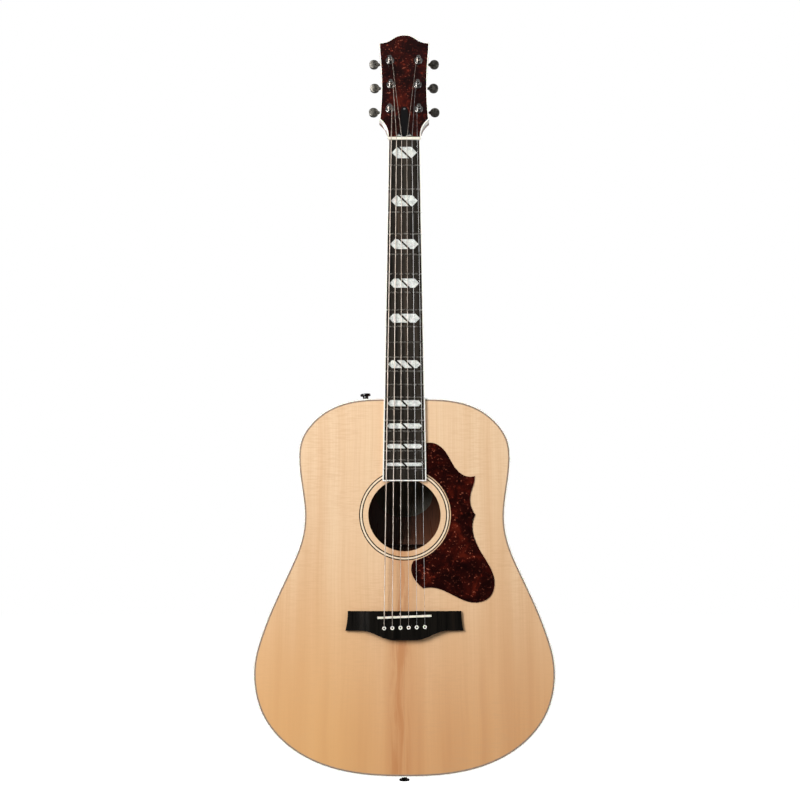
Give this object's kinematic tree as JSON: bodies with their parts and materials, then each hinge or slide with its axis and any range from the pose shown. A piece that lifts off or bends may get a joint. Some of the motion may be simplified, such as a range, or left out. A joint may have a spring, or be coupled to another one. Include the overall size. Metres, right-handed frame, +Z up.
{
  "type": "acoustic guitar",
  "caption": "Steel-string acoustic guitar with a broad waisted body, round soundhole, long fretted neck and geared tuning keys on a tilted headstock.",
  "frame": {"origin": "centre of the outer face of the strap button at the tail, the lowest point of the guitar", "axes": "+Z up along the neck, -Y the side that the strings are on, +X towards the treble strings"},
  "size_m": [0.3946, 0.1319, 1.0387],
  "materials": {
    "spruce": "gloss lacquer",
    "brace_wood": "sanded",
    "body_wood": "gloss lacquer",
    "neck_wood": "satin",
    "ebony": "oiled",
    "white_binding": "gloss",
    "dark_purfling": "gloss",
    "rosette_band": "gloss",
    "bone": "polished",
    "pin_ivory": "polished",
    "tortoise": "gloss",
    "pearl": "pearlescent",
    "fret_metal": "polished",
    "black_plastic": "gloss",
    "chrome": "mirror",
    "pewter": "nickel plate",
    "steel": "plain",
    "bronze": "wound wire",
    "label_paper": "matt paper"
  },
  "bodies": {
    "root": {"back": "body_wood", "back_binding": "white_binding", "back_braces": "brace_wood", "bridge": "ebony", "bridge_pins": "pin_ivory", "bridge_plate": "brace_wood", "fingerboard": "ebony", "fingerboard_binding": "white_binding", "frets": "fret_metal", "headstock_binding": "white_binding", "headstock_overlay": "tortoise", "heel_cap": "black_plastic", "label": "label_paper", "linings": "brace_wood", "neck": "neck_wood", "neck_block": "neck_wood", "neck_bolts": "steel", "nut": "bone", "pickguard": "tortoise", "position_inlays": "pearl", "rosette": "rosette_band", "saddle": "bone", "shoulder_strap_button": "pewter", "side_bass": "body_wood", "side_treble": "body_wood", "soundboard": "spruce", "string_1": "bronze", "string_2": "bronze", "string_3": "bronze", "string_4": "bronze", "string_5": "steel", "string_6": "steel", "tail_block": "neck_wood", "tail_strap_button": "pewter", "top_binding": "white_binding", "top_braces": "brace_wood", "top_purfling": "dark_purfling", "truss_rod": "steel", "truss_rod_cover": "black_plastic", "tuner_bushings": "chrome", "tuner_housings": "pewter", "wood_screws": "steel"},
    "key_1": {"tuner_key_1": "pewter"},
    "post_1": {"string_post_1": "chrome", "string_winding_1": "bronze"},
    "key_2": {"tuner_key_2": "pewter"},
    "post_2": {"string_post_2": "chrome", "string_winding_2": "bronze"},
    "key_3": {"tuner_key_3": "pewter"},
    "post_3": {"string_post_3": "chrome", "string_winding_3": "bronze"},
    "key_4": {"tuner_key_4": "pewter"},
    "post_4": {"string_post_4": "chrome", "string_winding_4": "bronze"},
    "key_5": {"tuner_key_5": "pewter"},
    "post_5": {"string_post_5": "chrome", "string_winding_5": "steel"},
    "key_6": {"tuner_key_6": "pewter"},
    "post_6": {"string_post_6": "chrome", "string_winding_6": "steel"}
  },
  "joints": [
    {"name": "key_1_turn", "type": "hinge", "parent": "root", "child": "key_1", "pos_m": [-0.0202, -0.03037, 0.91871], "axis": [1, 0, 0], "continuous": true},
    {"name": "post_1_turn", "type": "hinge", "parent": "root", "child": "post_1", "pos_m": [-0.0202, -0.05108, 0.91569], "axis": [0, -0.9744, 0.225], "continuous": true},
    {"name": "key_2_turn", "type": "hinge", "parent": "root", "child": "key_2", "pos_m": [-0.0188, -0.02126, 0.95817], "axis": [1, 0, 0], "continuous": true},
    {"name": "post_2_turn", "type": "hinge", "parent": "root", "child": "post_2", "pos_m": [-0.0188, -0.04197, 0.95515], "axis": [0, -0.9744, 0.225], "continuous": true},
    {"name": "key_3_turn", "type": "hinge", "parent": "root", "child": "key_3", "pos_m": [-0.0202, -0.01215, 0.99763], "axis": [1, 0, 0], "continuous": true},
    {"name": "post_3_turn", "type": "hinge", "parent": "root", "child": "post_3", "pos_m": [-0.0202, -0.03286, 0.99462], "axis": [0, -0.9744, 0.225], "continuous": true},
    {"name": "key_4_turn", "type": "hinge", "parent": "root", "child": "key_4", "pos_m": [0.0202, -0.01215, 0.99763], "axis": [1, 0, 0], "continuous": true},
    {"name": "post_4_turn", "type": "hinge", "parent": "root", "child": "post_4", "pos_m": [0.0202, -0.03286, 0.99462], "axis": [0, -0.9744, 0.225], "continuous": true},
    {"name": "key_5_turn", "type": "hinge", "parent": "root", "child": "key_5", "pos_m": [0.0188, -0.02126, 0.95817], "axis": [1, 0, 0], "continuous": true},
    {"name": "post_5_turn", "type": "hinge", "parent": "root", "child": "post_5", "pos_m": [0.0188, -0.04197, 0.95515], "axis": [0, -0.9744, 0.225], "continuous": true},
    {"name": "key_6_turn", "type": "hinge", "parent": "root", "child": "key_6", "pos_m": [0.0202, -0.03037, 0.91871], "axis": [1, 0, 0], "continuous": true},
    {"name": "post_6_turn", "type": "hinge", "parent": "root", "child": "post_6", "pos_m": [0.0202, -0.05108, 0.91569], "axis": [0, -0.9744, 0.225], "continuous": true}
  ],
  "couplings": [
    {"joint": "post_1_turn", "follows": "key_1_turn", "ratio": 0.055556},
    {"joint": "post_2_turn", "follows": "key_2_turn", "ratio": 0.055556},
    {"joint": "post_3_turn", "follows": "key_3_turn", "ratio": 0.055556},
    {"joint": "post_4_turn", "follows": "key_4_turn", "ratio": -0.055556},
    {"joint": "post_5_turn", "follows": "key_5_turn", "ratio": -0.055556},
    {"joint": "post_6_turn", "follows": "key_6_turn", "ratio": -0.055556}
  ]
}
